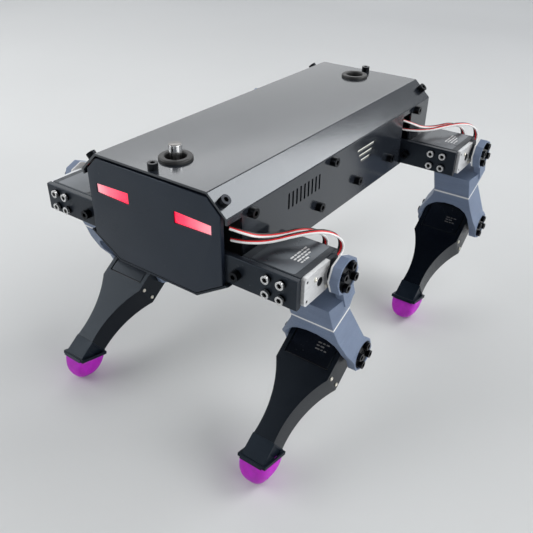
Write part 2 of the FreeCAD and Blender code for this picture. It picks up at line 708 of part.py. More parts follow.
def rim_in_leg():
    """Placement of the rim's underside in the leg's frame."""
    lean = (d.knee_pitch - d.rim_tilt).value
    return Placement(Vector(0, -d.rim_shift.value, -d.rim_down.value), Rotation(Vector(1, 0, 0), lean))


def build_pad(leg, place):
    """Rubber toe: a square block under the rim, rounded to a dome."""
    half_x = d.pad_half_x
    half_y = d.pad_half_y
    corners = [(-half_x, -half_y), (half_x, -half_y), (half_x, half_y), (-half_x, half_y)]
    block = prism(leg + "_pad_block", "XY", corners, -(d.dome_deep + 2), sized(0))
    block = soften(leg + "_pad_sides", block, d.pad_corner.value, along(Vector(0, 0, 1)))
    dome = doc.addObject("Part::Ellipsoid", leg + "_dome")
    bind(dome, "Radius1", d.dome_deep)
    bind(dome, "Radius2", d.dome_x)
    bind(dome, "Radius3", d.dome_y)
    bind(dome, "Placement.Base.y", -d.dome_ahead)
    node(leg + "_foot_pad", common(leg + "_foot_pad", [block, dome]), place.multiply(rim_in_leg()))


# ---------------------------------------------------------------- servo leads
# Routes as (out from the centre plane, back from the front of the body, down from the roof).

FIRST_LEAD = [(55, 9, 31), (64, 11, 31), (75, 20, 31), (86, 32, 28), (96, 43, 27), (102, 51, 31),
              (103, 57, 39), (103, 55, 46), (103, 48, 46)]
SECOND_LEAD = [(55, 8, 23), (62, 11, 25), (68, 20, 30), (75, 33, 32), (83, 43, 30), (90, 51, 33),
               (92, 57, 40), (92, 55, 47), (92, 48, 47)]


def route_points(route, side, bar, across):
    """Route of one wire, set beside the lead's middle by a share of the ribbon's width."""
    shift = (bar - d.bar_front).value
    points = []
    for i, (x, y, drop) in enumerate(route):
        ends_straight = i >= len(route) - 3
        dx, dy = (1.45, 0) if ends_straight else (1.1, -1.2)
        points.append(Vector((x + dx * across) * side, d.front_y.value + shift + y + dy * across,
                             d.body_top.value - drop))
    return points


def wire_path(points):
    """Straight runs joined by tangent arcs, with each arc's radius."""
    edges = []
    radii = []
    start = points[0]
    for before, corner, after in zip(points, points[1:], points[2:]):
        into = corner - before
        away = after - corner
        reach = 0.45 * min(into.Length, away.Length)
        turn = into.getAngle(away)
        radii.append(reach / math.tan(turn / 2))
        into.normalize()
        away.normalize()
        first = corner - into * reach
        last = corner + away * reach
        bisector = away - into
        bisector.normalize()
        inside = radii[-1] / math.cos(turn / 2) - radii[-1]
        edges.append(Part.LineSegment(start, first).toShape())
        edges.append(Part.Arc(first, corner + bisector * inside, last).toShape())
        start = last
    edges.append(Part.LineSegment(start, points[-1]).toShape())
    return Part.Wire(edges), radii


def build_lead(label, route, side, bar):
    """Ribbon of three loose wires from the body's notch to the back of the hip servo."""
    radius = d.wire_thick.value / 2
    wires = []
    for across in (-1, 0, 1):
        points = route_points(route, side, bar, across)
        path, radii = wire_path(points)
        section = Part.Wire([Part.makeCircle(radius, points[0], points[1] - points[0])])
        tube = path.makePipeShell([section], True, True)
        wires.append(tube)
        expected = math.pi * radius ** 2 * path.Length
        print(label, "least radius %.1f" % min(radii), "length %.1f" % path.Length,
              "volume %.4f of expected" % (tube.Volume / expected))
    lead = doc.addObject("Part::Feature", label)
    lead.Shape = Part.makeCompound(wires)
    lead.Placement = Placement()
    node(label, lead)


# ---------------------------------------------------------------- whole robot

def build_leg(leg, side, bar):
    hip = Vector(d.leg_centre.value * side, from_front(hip_y(bar)).value, hip_z().value)
    lean = math.radians(d.hip_pitch.value)
    reach = d.link_long.value
    knee = hip + Vector(0, math.sin(lean), -math.cos(lean)) * reach
    link = Placement(hip, Rotation(Vector(1, 0, 0), d.hip_pitch.value))
    shank = Placement(knee, Rotation(Vector(1, 0, 0), -d.knee_pitch.value))
    print(leg, "hip", hip, "knee", knee)
    build_hip_servo(leg, side, bar)
    build_yoke_upper(leg, side, link)
    build_yoke_accent(leg, side, link)
    build_yoke_fork(leg, side, link)
    build_horns(leg, side, link)
    build_knee_servo(leg, shank)
    build_leg_shell(leg, shank)
    build_boot(leg, shank)
    build_pad(leg, shank)
    build_lead(leg + "_first_lead", FIRST_LEAD, side, bar)
    build_lead(leg + "_second_lead", SECOND_LEAD, side, bar)


def check_and_export():
    doc.recompute()
    for obj in doc.Objects:
        if "Invalid" in obj.State or "Error" in obj.State:
            raise RuntimeError("%s did not compute" % obj.Name)
    os.makedirs("parts", exist_ok=True)
    whole = FreeCAD.BoundBox()
    for label, obj in nodes:
        shape = obj.Shape
        if shape.isNull() or not shape.isValid() or shape.Volume <= 0:
            raise RuntimeError("%s has a bad shape" % label)
        whole.add(shape.BoundBox)
        shape.exportStep("parts/%s.step" % label)
    print(len(nodes), "sub-parts", whole)


build_cover()
build_tray()
build_panels()
build_bars()
build_body_screws()
build_roof_fittings()
build_light_plates()
for end, bar_front in bar_fronts().items():
    for mark, side_sign in SIDES.items():
        build_leg("%s_%s" % (end, mark), side_sign, bar_front)
check_and_export()
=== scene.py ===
"""Looks of the four-legged walking robot: materials, servo leads, rubber toes and small fittings."""

import json
import math

import bmesh
import bpy
from mathutils import Matrix, Vector


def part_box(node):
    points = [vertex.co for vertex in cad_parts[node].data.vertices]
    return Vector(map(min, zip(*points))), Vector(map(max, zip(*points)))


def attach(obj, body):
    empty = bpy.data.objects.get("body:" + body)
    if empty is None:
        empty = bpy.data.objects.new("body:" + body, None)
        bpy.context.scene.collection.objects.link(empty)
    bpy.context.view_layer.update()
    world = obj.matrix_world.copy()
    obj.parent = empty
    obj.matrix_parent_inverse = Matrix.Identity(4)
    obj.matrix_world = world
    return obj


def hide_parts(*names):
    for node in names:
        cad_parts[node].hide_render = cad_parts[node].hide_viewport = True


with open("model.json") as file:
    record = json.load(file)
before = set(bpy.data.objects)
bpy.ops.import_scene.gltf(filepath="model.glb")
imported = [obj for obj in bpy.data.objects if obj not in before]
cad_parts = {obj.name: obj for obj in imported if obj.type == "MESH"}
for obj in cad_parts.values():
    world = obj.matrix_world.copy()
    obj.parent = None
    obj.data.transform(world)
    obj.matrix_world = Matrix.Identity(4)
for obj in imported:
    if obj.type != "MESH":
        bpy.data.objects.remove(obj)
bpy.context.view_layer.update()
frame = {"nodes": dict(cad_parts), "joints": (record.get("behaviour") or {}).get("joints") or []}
nodes = frame["nodes"]
scene = bpy.context.scene
joints = {joint["name"]: joint for joint in frame["joints"]}

# Sizes and places are in metres. "Out" is away from the centre plane, and "back" is from the body's front.

MM = 0.001
SIDES = {"left": 1, "right": -1}
ENDS = {"front": 0.0, "rear": 0.229}

# Pitch about X of the upper link, the leg and the foot's rim on the leg, and the rim's place on the leg.
HIP_PITCH = math.radians(22)
KNEE_PITCH = math.radians(-55)
RIM_PITCH = math.radians(41)
RIM_PLACE = Vector((0, -0.0012, -0.09133))

# Tints of the gloss on dark surfaces.
BLUISH = (0.72, 0.86, 1.0, 1.0)
COOL = (0.88, 0.94, 1.0, 1.0)

cover_low, cover_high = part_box("top_cover")
front_y = cover_low.y
roof_z = cover_high.z
button_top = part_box("power_button")[1].z
hip_height = joints["front_left_hip"]["pos_m"][2]


# ---------------------------------------------------------------- camera
# Set to the photograph's viewing angle. The offset is from the middle of the roof's front edge.

CAMERA_OFFSET = Vector((0.25741, -0.24010, 0.15423))
CAMERA_TURN = math.radians(35.31)
CAMERA_TILT = math.radians(32.50)
CAMERA_ROLL = math.radians(0.73)
CAMERA_LENS = 42.73


def make_camera():
    data = bpy.data.cameras.new("Camera")
    data.sensor_width = 36
    data.lens = CAMERA_LENS
    data.clip_start = 0.01
    camera = bpy.data.objects.new("Camera", data)
    scene.collection.objects.link(camera)
    level = math.cos(CAMERA_TILT)
    forward = Vector((-math.sin(CAMERA_TURN) * level, math.cos(CAMERA_TURN) * level, -math.sin(CAMERA_TILT)))
    right = forward.cross(Vector((0, 0, 1))).normalized()
    up = right.cross(forward)
    rolled_right = math.cos(CAMERA_ROLL) * right + math.sin(CAMERA_ROLL) * up
    rolled_up = -math.sin(CAMERA_ROLL) * right + math.cos(CAMERA_ROLL) * up
    turn = Matrix((rolled_right, rolled_up, -forward)).transposed().to_4x4()
    camera.matrix_world = Matrix.Translation(Vector((0, front_y, roof_z)) + CAMERA_OFFSET) @ turn
    scene.camera = camera


make_camera()


# ---------------------------------------------------------------- materials

class Look:
    """A node material: its shader, and short ways to make the textures that feed it."""

    def __init__(self, name, **sockets):
        self.material = bpy.data.materials.new(name)
        self.material.use_nodes = True
        self.tree = self.material.node_tree
        self.shader = self.tree.nodes["Principled BSDF"]
        for socket, value in sockets.items():
            self.shader.inputs[socket.replace("_", " ")].default_value = value
        self.place = self.node("ShaderNodeTexCoord").outputs["Object"]

    def node(self, kind, **settings):
        made = self.tree.nodes.new(kind)
        for key, value in settings.items():
            setattr(made, key, value)
        return made

    def link(self, source, target):
        self.tree.links.new(source, target)

    def feed(self, socket, source):
        self.link(source, self.shader.inputs[socket])

    def turned(self, angle, stretch=(1, 1, 1)):
        """Coordinates turned about X into a link's own frame, then stretched."""
        first = self.node("ShaderNodeMapping")
        first.inputs["Rotation"].default_value = (angle, 0, 0)
        self.link(self.place, first.inputs["Vector"])
        second = self.node("ShaderNodeMapping")
        second.inputs["Scale"].default_value = stretch
        self.link(first.outputs["Vector"], second.inputs["Vector"])
        return second.outputs["Vector"]

    def noise(self, scale, detail=4.0, roughness=0.5, vector=None):
        made = self.node("ShaderNodeTexNoise")
        made.inputs["Scale"].default_value = scale
        made.inputs["Detail"].default_value = detail
        made.inputs["Roughness"].default_value = roughness
        self.link(vector or self.place, made.inputs["Vector"])
        return made.outputs["Fac"]

    def cells(self, scale):
        made = self.node("ShaderNodeTexVoronoi")
        made.inputs["Scale"].default_value = scale
        self.link(self.place, made.inputs["Vector"])
        return made.outputs["Distance"]

    def bands(self, scale, vector):
        made = self.node("ShaderNodeTexWave", bands_direction="Z")
        made.inputs["Scale"].default_value = scale
        made.inputs["Distortion"].default_value = 0.6
        made.inputs["Detail"].default_value = 2.0
        made.inputs["Detail Scale"].default_value = 1.5
        self.link(vector, made.inputs["Vector"])
        return made.outputs["Fac"]

    def math(self, operation, first, second=None):
        made = self.node("ShaderNodeMath", operation=operation)
        for index, value in enumerate((first, second)):
            if value is None:
                continue
            if isinstance(value, (int, float)):
                made.inputs[index].default_value = value
            else:
                self.link(value, made.inputs[index])
        return made.outputs[0]

    def span(self, source, low, high, start, end):
        """Remaps a value from one range to another, held at both ends."""
        made = self.node("ShaderNodeMapRange")
        for key, value in zip(("From Min", "From Max", "To Min", "To Max"), (low, high, start, end)):
            made.inputs[key].default_value = value
        self.link(source, made.inputs["Value"])
        return made.outputs["Result"]

    def ramp(self, source, *stops):
        made = self.node("ShaderNodeValToRGB")
        elements = made.color_ramp.elements
        while len(elements) < len(stops):
            elements.new(0.5)
        for element, (position, colour) in zip(elements, stops):
            element.position = position
            element.color = (*colour, 1)
        self.link(source, made.inputs["Fac"])
        return made.outputs["Color"]

    def blend(self, factor, first, second):
        made = self.node("ShaderNodeMix", data_type="RGBA")
        self.link(factor, made.inputs["Factor"])
        for socket, value in (("A", first), ("B", second)):
            target = [s for s in made.inputs if s.name == socket and s.type == "RGBA"][0]
            if isinstance(value, tuple):
                target.default_value = (*value, 1)
            else:
                self.link(value, target)
        return [s for s in made.outputs if s.type == "RGBA"][0]

    def bump(self, *layers):
        """Stacks bumps, each a (height, depth in metres)."""
        normal = None
        for height, depth in layers:
            made = self.node("ShaderNodeBump")
            made.inputs["Distance"].default_value = depth
            self.link(height, made.inputs["Height"])
            if normal is not None:
                self.link(normal, made.inputs["Normal"])
            normal = made.outputs["Normal"]
        self.feed("Normal", normal)

    def axis(self, name):
        split = self.node("ShaderNodeSeparateXYZ")
        self.link(self.place, split.inputs["Vector"])
        return split.outputs[name]


def grey(level, warm=0.0):
    return (level * (1 + warm), level, level * (1 - warm))


def coated_sheet(name, dark, light, rough, **sockets):
    """Powder-coated sheet: faint cloudiness, orange peel and specks of dust."""
    look = Look(name, **sockets)
    clouds = look.noise(14, 5, 0.6)
    grain = look.noise(1500, 3)
    dust = look.span(look.noise(900, 2), 0.72, 0.78, 0.0, 1.0)
    tone = look.ramp(clouds, (0.3, dark), (0.7, light))
    look.feed("Base Color", look.blend(look.math("MULTIPLY", dust, 0.25), tone, grey(0.35)))
    broad = look.span(clouds, 0.3, 0.7, -0.03, 0.04)
    fine = look.span(grain, 0.3, 0.7, -0.03, 0.03)
    look.feed("Roughness", look.math("ADD", look.math("ADD", broad, fine), rough))
    look.bump((look.noise(260, 2), 0.00002), (grain, 0.00003))
    return look.material


def printed(name, dark, light, rough, turn, pitch, depth, **sockets):
    """Printed plastic: fine layers along the part, with slight colour drift between them."""
    look = Look(name, **sockets)
    frame_of_part = look.turned(turn)
    # A wave texture's bands repeat every pi / (10 * scale).
    layers = look.bands(math.pi / (10 * pitch), frame_of_part)
    streaks = look.noise(1, 5, 0.6, look.turned(turn, (25, 25, 420)))
    clouds = look.noise(45, 4)
    speckle = look.noise(1400, 3)
    tone = look.math("ADD", look.math("MULTIPLY", streaks, 0.55), look.math("MULTIPLY", clouds, 0.45))
    base = look.ramp(tone, (0.32, dark), (0.68, light))
    flecks = look.span(speckle, 0.62, 0.75, 0.0, 0.25)
    look.feed("Base Color", look.blend(flecks, base, tuple(min(1, c * 1.9) for c in light)))
    look.feed("Roughness", look.math("ADD", look.span(streaks, 0.3, 0.7, -0.04, 0.04), rough))
    look.bump((layers, depth), (speckle, 0.00004))
    return look.material


def moulded(name, dark, light, rough, **sockets):
    """Moulded plastic or rubber: fine pebble grain and worn patches."""
    look = Look(name, **sockets)
    clouds = look.noise(60, 4, 0.6)
    pebbles = look.cells(1300)
    look.feed("Base Color", look.ramp(clouds, (0.35, dark), (0.7, light)))
    look.feed("Roughness", look.math("ADD", look.span(clouds, 0.3, 0.7, -0.06, 0.08), rough))
    look.bump((pebbles, 0.00005), (look.noise(500, 3), 0.00004))
    return look.material


def machined(name, dark, light, rough):
    """Small metal fittings, faintly uneven in colour and gloss."""
    look = Look(name, Metallic=1.0)
    marks = look.noise(1, 5, 0.7)
    clouds = look.noise(70, 4)
    tone = look.math("ADD", look.math("MULTIPLY", marks, 0.5), look.math("MULTIPLY", clouds, 0.5))
    look.feed("Base Color", look.ramp(tone, (0.3, dark), (0.7, light)))
    look.feed("Roughness", look.math("ADD", look.span(marks, 0.3, 0.7, -0.08, 0.1), rough))
    look.bump((marks, 0.00002), (look.noise(1600, 2), 0.00002))
    return look.material


# The hip servo's shaft, and where its metal cover starts and stops short of the shaft's boss.
SHAFT_BACK = 0.0385
METAL_OUT = 0.10505
METAL_SHORT = 0.0040
BOSS_RADIUS = 0.0067


def servo_look(name, axis_y, axis_z):
    """Black servo case whose outer cover is pale blasted metal, ending short of the shaft's boss."""
    look = Look(name, Specular_IOR_Level=0.4, Specular_Tint=BLUISH)
    across = look.math("ABSOLUTE", look.axis("X"))
    outside = look.math("GREATER_THAN", across, METAL_OUT)
    ahead = look.math("LESS_THAN", look.axis("Y"), axis_y - METAL_SHORT)
    cover = look.math("MULTIPLY", outside, ahead)
    y = look.math("SUBTRACT", look.axis("Y"), axis_y)
    z = look.math("SUBTRACT", look.axis("Z"), axis_z)
    ring = look.math("SQRT", look.math("ADD", look.math("MULTIPLY", y, y), look.math("MULTIPLY", z, z)))
    metal = look.math("MULTIPLY", cover, look.math("GREATER_THAN", ring, BOSS_RADIUS))
    clouds = look.noise(80, 4)
    brushed = look.noise(1, 4, 0.6, look.turned(0, (200, 200, 1400)))
    black = look.ramp(clouds, (0.3, (0.006, 0.007, 0.009)), (0.7, (0.012, 0.014, 0.018)))
    bare = look.ramp(brushed, (0.3, grey(0.60)), (0.7, grey(0.74)))
    look.feed("Base Color", look.blend(metal, black, bare))
    look.feed("Metallic", look.math("MULTIPLY", metal, 0.35))
    worn = look.math("ADD", look.span(brushed, 0.3, 0.7, -0.05, 0.07), 0.40)
    look.feed("Roughness", worn)
    look.bump((look.cells(1500), 0.00004), (brushed, 0.00002))
    return look.material


# How far out a lens starts and ends.
LENS_ENDS = (0.019, 0.048)


def eye_look():
    """Lit red lens, deep red towards the nose and paler towards its outer end."""
    look = Look("lit_eye", Roughness=0.25, Coat_Weight=0.3)
    across = look.span(look.math("ABSOLUTE", look.axis("X")), *LENS_ENDS, 0.0, 1.0)
    drift = look.math("ADD", across, look.span(look.noise(120, 3), 0.3, 0.7, -0.06, 0.06))
    colour = look.ramp(drift, (0.0, (1.0, 0.008, 0.055)), (0.25, (1.0, 0.03, 0.09)),
                       (0.6, (1.0, 0.12, 0.18)), (1.0, (0.75, 0.30, 0.34)))
    look.feed("Base Color", colour)
    look.feed("Emission Color", colour)
    look.shader.inputs["Emission Strength"].default_value = 0.78
    look.bump((look.noise(700, 2), 0.00004))
    return look.material


def rubber_look():
    """Translucent-looking magenta rubber with faint mould grain and scuffs."""
    look = Look("magenta_rubber", Subsurface_Weight=0.12, Subsurface_Scale=0.003)
    clouds = look.noise(110, 5, 0.6)
    scuffs = look.span(look.noise(1, 4, 0.6, look.turned(0, (900, 300, 900))), 0.6, 0.72, 0.0, 0.5)
    base = look.ramp(clouds, (0.3, (0.34, 0.001, 0.38)), (0.7, (0.54, 0.002, 0.58)))
    look.feed("Base Color", look.blend(scuffs, base, (0.62, 0.02, 0.62)))
    look.feed("Roughness", look.span(clouds, 0.3, 0.7, 0.36, 0.50))
    look.bump((look.cells(1000), 0.00006), (look.noise(350, 3), 0.00008))
    return look.material


def wire_look(name, dark, light):
    look = Look(name, Coat_Weight=0.2)
    clouds = look.noise(300, 4)
    look.feed("Base Color", look.ramp(clouds, (0.3, dark), (0.7, light)))
    look.feed("Roughness", look.span(clouds, 0.3, 0.7, 0.32, 0.48))
    look.bump((look.noise(1500, 2), 0.00003))
    return look.material


def lamp_look(name, dark, light, strength):
    look = Look(name, Roughness=0.5)
    colour = look.ramp(look.noise(150, 3), (0.3, dark), (0.7, light))
    look.feed("Base Color", colour)
    look.feed("Emission Color", colour)
    look.shader.inputs["Emission Strength"].default_value = strength
    look.bump((look.noise(900, 2), 0.00003))
    return look.material


# Depth of the button's duller top.
BUTTON_CAP = 0.0003


def button_painted_reflection_look():
    """Chrome button with painted reflections, upright bright and dark streaks round its side, and a duller
    top.
    """
    look = Look("button_chrome_painted_reflections", Metallic=1.0)
    # Painted reflections: the side's upright bright and dark streaks stand in for a room's reflections in the
    # chrome.
    streaks = look.noise(1, 3, 0.6, look.turned(0, (380, 380, 12)))
    side = look.ramp(streaks, (0.34, grey(0.10)), (0.46, grey(0.90)))
    top = look.math("GREATER_THAN", look.axis("Z"), button_top - BUTTON_CAP)
    worn = look.ramp(look.noise(500, 4), (0.3, (0.105, 0.100, 0.095)), (0.7, (0.150, 0.145, 0.138)))
    look.feed("Base Color", look.blend(top, side, worn))
    look.feed("Roughness", look.span(look.noise(900, 3), 0.3, 0.7, 0.10, 0.18))
    look.bump((look.noise(1600, 2), 0.00001))
    return look.material


# How far out the label's painted sheen starts and stops growing.
LABEL_SHEEN_ENDS = (0.072, 0.098)


def label_painted_sheen_look():
    """Satin label with a painted sheen, darkest towards the body and greyer towards the servo's outer end."""
    look = Look("servo_label", Specular_IOR_Level=0.5, Specular_Tint=BLUISH)
    # Painted sheen: the tone greys outwards and stands in for a reflection.
    across = look.span(look.math("ABSOLUTE", look.axis("X")), *LABEL_SHEEN_ENDS, 0.0, 1.0)
    drift = look.math("ADD", across, look.span(look.noise(90, 4), 0.3, 0.7, -0.08, 0.08))
    tone = look.ramp(drift, (0.0, (0.008, 0.009, 0.012)), (0.35, (0.022, 0.025, 0.030)),
                     (1.0, (0.078, 0.085, 0.095)))
    look.feed("Base Color", tone)
    look.feed("Roughness", look.span(look.noise(200, 3), 0.3, 0.7, 0.27, 0.31))
    look.bump((look.noise(260, 2), 0.00001))
    return look.material


# How far back the front bar's face is, how far before it the bolts get painted shade, and a place between the
# bars.
BAR_FACE = 0.0028
BOLT_SHADE = 0.0014
MID_BODY = 0.1


def bolt_painted_shade_look():
    """Bright hex bolts with painted shade inside their sockets and near the bar they stand on."""
    look = Look("silver_bolts_painted_shade", Metallic=1.0)
    y = look.axis("Y")
    # Painted shade: the socket floors and the heads' bases near each bar are made near black.
    deep = look.math("GREATER_THAN", y, front_y + BAR_FACE - BOLT_SHADE)
    ahead = look.math("LESS_THAN", y, front_y + MID_BODY)
    rear = look.math("GREATER_THAN", y, front_y + ENDS["rear"] + BAR_FACE - BOLT_SHADE)
    dark = look.math("MAXIMUM", look.math("MULTIPLY", deep, ahead), rear)
    clouds = look.noise(300, 4)
    bright = look.ramp(clouds, (0.3, grey(0.52)), (0.7, grey(0.74)))
    black = look.ramp(clouds, (0.3, grey(0.012)), (0.7, grey(0.03)))
    look.feed("Base Color", look.blend(dark, bright, black))
    look.feed("Roughness", look.span(look.noise(900, 3), 0.3, 0.7, 0.22, 0.38))
    look.bump((look.noise(1600, 2), 0.00002))
    return look.material


LOOKS = {
    "cover": coated_sheet("cover_paint", (0.010, 0.012, 0.016), (0.016, 0.019, 0.025), 0.16,
                          Specular_IOR_Level=0.7, Specular_Tint=COOL, Coat_Weight=0.12, Coat_Roughness=0.08),
    "panel": coated_sheet("panel_paint", (0.006, 0.009, 0.016), (0.011, 0.015, 0.025), 0.32,
                          Specular_IOR_Level=0.42, Specular_Tint=BLUISH),
    "bar": coated_sheet("bar_paint", (0.006, 0.008, 0.012), (0.011, 0.014, 0.020), 0.34,
                        Specular_IOR_Level=0.32, Specular_Tint=BLUISH),
    "eye": eye_look(),
    "diffuser": lamp_look("side_diffuser", (0.70, 0.70, 0.62), (0.86, 0.86, 0.80), 0.25),
    "ring": moulded("ring_rubber", grey(0.010), grey(0.020), 0.48),
    "button": button_painted_reflection_look(),
    "black_screw": machined("black_screws", (0.010, 0.011, 0.013), (0.024, 0.026, 0.030), 0.30),
    "silver_screw": bolt_painted_shade_look(),
    "pale_screw": machined("pale_screws", (0.58, 0.55, 0.47), (0.80, 0.77, 0.68), 0.3),
    "grey_print": printed("slate_print", (0.130, 0.172, 0.262), (0.186, 0.240, 0.350), 0.48, -HIP_PITCH,
                          0.0005, 0.00009),
    "white_print": printed("white_print", grey(0.70), grey(0.82), 0.50, -HIP_PITCH, 0.0005, 0.00006),
    "leg_print": printed("black_print", (0.0015, 0.0025, 0.005), (0.003, 0.0045, 0.008), 0.22,
                         -KNEE_PITCH, 0.0006, 0.00004, Specular_IOR_Level=0.26, Specular_Tint=BLUISH),
    "boot": moulded("boot_plastic", (0.002, 0.005, 0.010), (0.005, 0.009, 0.016), 0.42,
                    Specular_IOR_Level=0.25, Specular_Tint=BLUISH),
    "knee": moulded("knee_case", grey(0.008), grey(0.016), 0.35),
    "label": label_painted_sheen_look(),
    "dark_label": coated_sheet("knee_label", (0.002, 0.003, 0.005), (0.004, 0.005, 0.008), 0.22,
                               Specular_IOR_Level=0.28, Specular_Tint=BLUISH),
    "print_marks": coated_sheet("label_marks", grey(0.62), grey(0.75), 0.5),
    "dim_marks": coated_sheet("dim_marks", grey(0.07), grey(0.10), 0.5),
    "horn": machined("horn_black", (0.020, 0.022, 0.025), (0.042, 0.046, 0.052), 0.33),
    "rubber": rubber_look(),
    "white_wire": wire_look("white_wire", grey(0.86, 0.01), grey(0.94, 0.01)),
    "red_wire": wire_look("red_wire", (0.78, 0.008, 0.012), (0.90, 0.016, 0.022)),
    "black_wire": wire_look("black_wire", grey(0.010), grey(0.022)),
}
for end, shift in ENDS.items():
    LOOKS[end + "_servo"] = servo_look(end + "_servo_case", front_y + shift + SHAFT_BACK, hip_height)


# ---------------------------------------------------------------- servo leads
# Routes as (out, back, height), the same points as the CAD's.

FIRST_LEAD = [(0.055, 0.009, 0.168), (0.064, 0.011, 0.168), (0.075, 0.020, 0.168), (0.086, 0.032, 0.171),
              (0.096, 0.043, 0.172), (0.102, 0.051, 0.168), (0.103, 0.057, 0.160), (0.103, 0.055, 0.153),
              (0.103, 0.048, 0.153)]
SECOND_LEAD = [(0.055, 0.008, 0.176), (0.062, 0.011, 0.174), (0.068, 0.020, 0.169), (0.075, 0.033, 0.167),
               (0.083, 0.043, 0.169), (0.090, 0.051, 0.166), (0.092, 0.057, 0.159), (0.092, 0.055, 0.152),
               (0.092, 0.048, 0.152)]
# Each lead's route and real length, and each wire's place in its ribbon.
LEADS = (("first", FIRST_LEAD, 0.088), ("second", SECOND_LEAD, 0.080))
WIRES = {"black_wire": -1, "red_wire": 0, "white_wire": 1}
WIRE_THICK = 0.0014

# From one wire of a ribbon to the next, as (out, back), along the run and at its last points.
RUN_STEP = (0.0011, -0.0012)
END_STEP = (0.00145, 0)
END_POINTS = 3


def wire_points(route, side, shift, across):
    """Route of one wire, a step out and back from the lead's middle, and only out at the last points."""
    points = []
    for i, (x, y, z) in enumerate(route):
        dx, dy = END_STEP if i >= len(route) - END_POINTS else RUN_STEP
        points.append(Vector(((x + dx * across) * side, front_y + shift + y + dy * across, z)))
    return points


def add_wire(name, points, look, node):
    data = bpy.data.curves.new(name, "CURVE")
    data.dimensions = "3D"
    data.bevel_depth = WIRE_THICK / 2
    data.bevel_resolution = 4
    data.resolution_u = 10
    data.use_fill_caps = True
    spline = data.splines.new("NURBS")
    spline.points.add(len(points) - 1)
    for control, point in zip(spline.points, points):
        control.co = (*point, 1)
    spline.order_u = 3
    spline.use_endpoint_u = True
    piece = bpy.data.objects.new(name, data)
    scene.collection.objects.link(piece)
    data.materials.append(LOOKS[look])
    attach(piece, "chassis")
    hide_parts(node)


for end, shift in ENDS.items():
    for mark, side in SIDES.items():
        leg = "%s_%s" % (end, mark)
        for lead, route, length in LEADS:
            for look, across in WIRES.items():
                add_wire("%s_%s_%s" % (leg, lead, look), wire_points(route, side, shift, across), look,
                         "%s_%s_lead" % (leg, lead))


# ---------------------------------------------------------------- CAD nodes

WELD_WITHIN = 0.000005
FLAT_WITHIN = math.radians(0.4)
EDGE_ANGLE = math.radians(32)


def dress(name, look, bevel=0.0):
    """Gives a CAD node its material, smooth shading and softened edges."""
    piece = nodes[name]
    mesh = piece.data
    mesh.materials.clear()
    mesh.materials.append(LOOKS[look])
    normals = mesh.attributes.get("custom_normal")
    if normals is not None:
        mesh.attributes.remove(normals)
    mesh.polygons.foreach_set("use_smooth", [True] * len(mesh.polygons))
    weld = piece.modifiers.new("Weld", "WELD")
    weld.merge_threshold = WELD_WITHIN
    flat = piece.modifiers.new("Flatten", "DECIMATE")
    flat.decimate_type = "DISSOLVE"
    flat.angle_limit = FLAT_WITHIN
    if bevel:
        soft = piece.modifiers.new("Soften", "BEVEL")
        soft.width = bevel
        soft.segments = 2
        soft.limit_method = "ANGLE"
        soft.angle_limit = EDGE_ANGLE
        soft.harden_normals = True
        soft.miter_outer = "MITER_ARC"
    else:
        split = piece.modifiers.new("Split", "EDGE_SPLIT")
        split.split_angle = EDGE_ANGLE


dress("top_cover", "cover")
dress("bottom_tray", "bar", 0.0002)
dress("front_panel", "panel", 0.0004)
dress("rear_panel", "panel", 0.0004)
dress("eye_lenses", "eye")
dress("side_light_plates", "diffuser")
dress("cable_grommets", "ring")
dress("power_button", "button")
dress("body_cap_screws", "black_screw", 0.00035)
dress("servo_mount_bolts", "silver_screw", 0.0003)
dress("front_cross_bar", "bar", 0.0003)
dress("rear_cross_bar", "bar", 0.0003)
for end in ENDS:
    for mark in SIDES:
        leg = "%s_%s_" % (end, mark)
        dress(leg + "hip_servo", end + "_servo", 0.0004)
        dress(leg + "yoke_upper", "grey_print", 0.0005)
        dress(leg + "yoke_accent", "white_print", 0.0002)
        dress(leg + "yoke_fork", "grey_print", 0.0005)
        dress(leg + "horns", "horn", 0.0003)
        dress(leg + "horn_screws", "black_screw", 0.0003)
        dress(leg + "knee_servo", "knee", 0.0004)
        dress(leg + "leg_shell", "leg_print", 0.0006)
        dress(leg + "foot_boot", "boot", 0.0004)


# ---------------------------------------------------------------- pieces

def new_piece(name, build, look, body, smooth=True):
    """Mesh piece from a function that fills a bmesh in the part's frame."""
    mesh = bpy.data.meshes.new(name)
    work = bmesh.new()
    build(work)
    bmesh.ops.recalc_face_normals(work, faces=work.faces)
    work.to_mesh(mesh)
    work.free()
    mesh.materials.append(LOOKS[look])
    if smooth:
        mesh.polygons.foreach_set("use_smooth", [True] * len(mesh.polygons))
    piece = bpy.data.objects.new(name, mesh)
    scene.collection.objects.link(piece)
    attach(piece, body)
    return piece


CORNER_STEPS = 5


def slab(work, place, wide, long, tall, corner):
    """Rounded-corner plate with a softened top, standing on its frame's origin."""
    rings = []
    levels = ((0.0, 0.0), (tall * 0.7, 0.0), (tall, tall * 0.35))
    for level, inset in levels:
        ring = []
        for cx, cy, start in ((1, 1, 0), (-1, 1, 90), (-1, -1, 180), (1, -1, 270)):
            for i in range(CORNER_STEPS + 1):
                angle = math.radians(start + 90 * i / CORNER_STEPS)
                reach = corner - inset
                x = cx * (wide / 2 - corner) + reach * math.cos(angle)
                y = cy * (long / 2 - corner) + reach * math.sin(angle)
                ring.append(work.verts.new(place @ Vector((x, y, level))))
        rings.append(ring)
    work.faces.new(list(reversed(rings[0])))
    work.faces.new(rings[-1])
    for lower, upper in zip(rings, rings[1:]):
        count = len(lower)
        for i in range(count):
            work.faces.new((lower[i], lower[(i + 1) % count], upper[(i + 1) % count], upper[i]))


